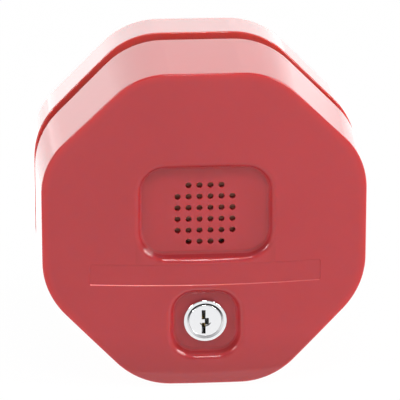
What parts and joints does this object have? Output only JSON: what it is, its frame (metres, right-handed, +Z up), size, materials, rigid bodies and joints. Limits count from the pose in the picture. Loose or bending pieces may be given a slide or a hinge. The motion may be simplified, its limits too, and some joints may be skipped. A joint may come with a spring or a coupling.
{
  "type": "door alarm",
  "caption": "Octagonal surface-mounted exit door alarm: drafted cover with a curved front, recessed sounder grille and key switch, on a waisted rear housing.",
  "frame": {"origin": "centre of the flat back face, which lies on the door", "axes": "+Y points into the door, -Y out of the front, +Z up as mounted, +X to the right as seen from the front"},
  "size_m": [0.1396, 0.0846, 0.1396],
  "materials": {
    "red_plastic": "smooth glossy moulded red polycarbonate",
    "chrome": "bright chromed zinc",
    "plated_steel": "bright zinc plate",
    "black_plastic": "fine matt moulding",
    "brass": "stamped brass",
    "foam": "closed cell foam",
    "board": "green solder mask",
    "terminal_plastic": "moulded nylon",
    "connector_plastic": "moulded nylon",
    "relay_case": "moulded case",
    "chip_case": "moulded epoxy",
    "dip_case": "moulded case",
    "ferrite": "sintered ferrite",
    "copper": "varnished copper wire",
    "capacitor_sleeve": "shrunk sleeve",
    "resistor_coat": "lacquered",
    "reed_tube": "clear glass",
    "battery_case": "plain painted can",
    "snap_cap": "moulded vinyl",
    "lead_red": "vinyl insulation",
    "lead_black": "vinyl insulation"
  },
  "bodies": {
    "alarm": {"battery": "battery_case", "battery_lead_black": "lead_black", "battery_lead_red": "lead_red", "battery_snap": "snap_cap", "board_screws": "plated_steel", "capacitor_large": "capacitor_sleeve", "capacitor_small": "capacitor_sleeve", "chip_legs": "plated_steel", "circuit_board": "board", "coil_core": "ferrite", "coil_winding": "copper", "controller_chip": "chip_case", "cover_screws": "plated_steel", "dip_switch": "dip_case", "front_cover": "red_plastic", "lead_connectors": "connector_plastic", "lock_barrel": "chrome", "lock_nut": "plated_steel", "lock_washer": "plated_steel", "piezo_disc": "brass", "rear_housing": "red_plastic", "reed_glass": "reed_tube", "reed_leads": "plated_steel", "relay": "relay_case", "resistors": "resistor_coat", "siren_cap": "black_plastic", "siren_gasket": "foam", "siren_housing": "black_plastic", "siren_screws": "plated_steel", "sounder_lead_black": "lead_black", "sounder_lead_red": "lead_red", "switch_body": "black_plastic", "switch_lead_black": "lead_black", "switch_lead_red": "lead_red", "switch_lugs": "brass", "terminal_block": "terminal_plastic", "terminal_screws": "plated_steel"},
    "lock_core": {"lock_plug": "chrome", "switch_rotor": "black_plastic", "moving_contact": "brass", "rotor_screw": "plated_steel"},
    "dip_lever_1": {"dip_lever_1": "connector_plastic"},
    "dip_lever_2": {"dip_lever_2": "connector_plastic"},
    "dip_lever_3": {"dip_lever_3": "connector_plastic"},
    "dip_lever_4": {"dip_lever_4": "connector_plastic"}
  },
  "joints": [
    {"name": "lock_turn", "type": "hinge", "parent": "alarm", "child": "lock_core", "pos_m": [0, -0.07, -0.0408], "axis": [0, 1, 0], "range_deg": [0, 90]},
    {"name": "dip_slide_1", "type": "slide", "parent": "alarm", "child": "dip_lever_1", "axis": [1, 0, 0], "range_m": [0, 0.002]},
    {"name": "dip_slide_2", "type": "slide", "parent": "alarm", "child": "dip_lever_2", "axis": [1, 0, 0], "range_m": [0, 0.002]},
    {"name": "dip_slide_3", "type": "slide", "parent": "alarm", "child": "dip_lever_3", "axis": [1, 0, 0], "range_m": [0, 0.002]},
    {"name": "dip_slide_4", "type": "slide", "parent": "alarm", "child": "dip_lever_4", "axis": [1, 0, 0], "range_m": [0, 0.002]}
  ]
}
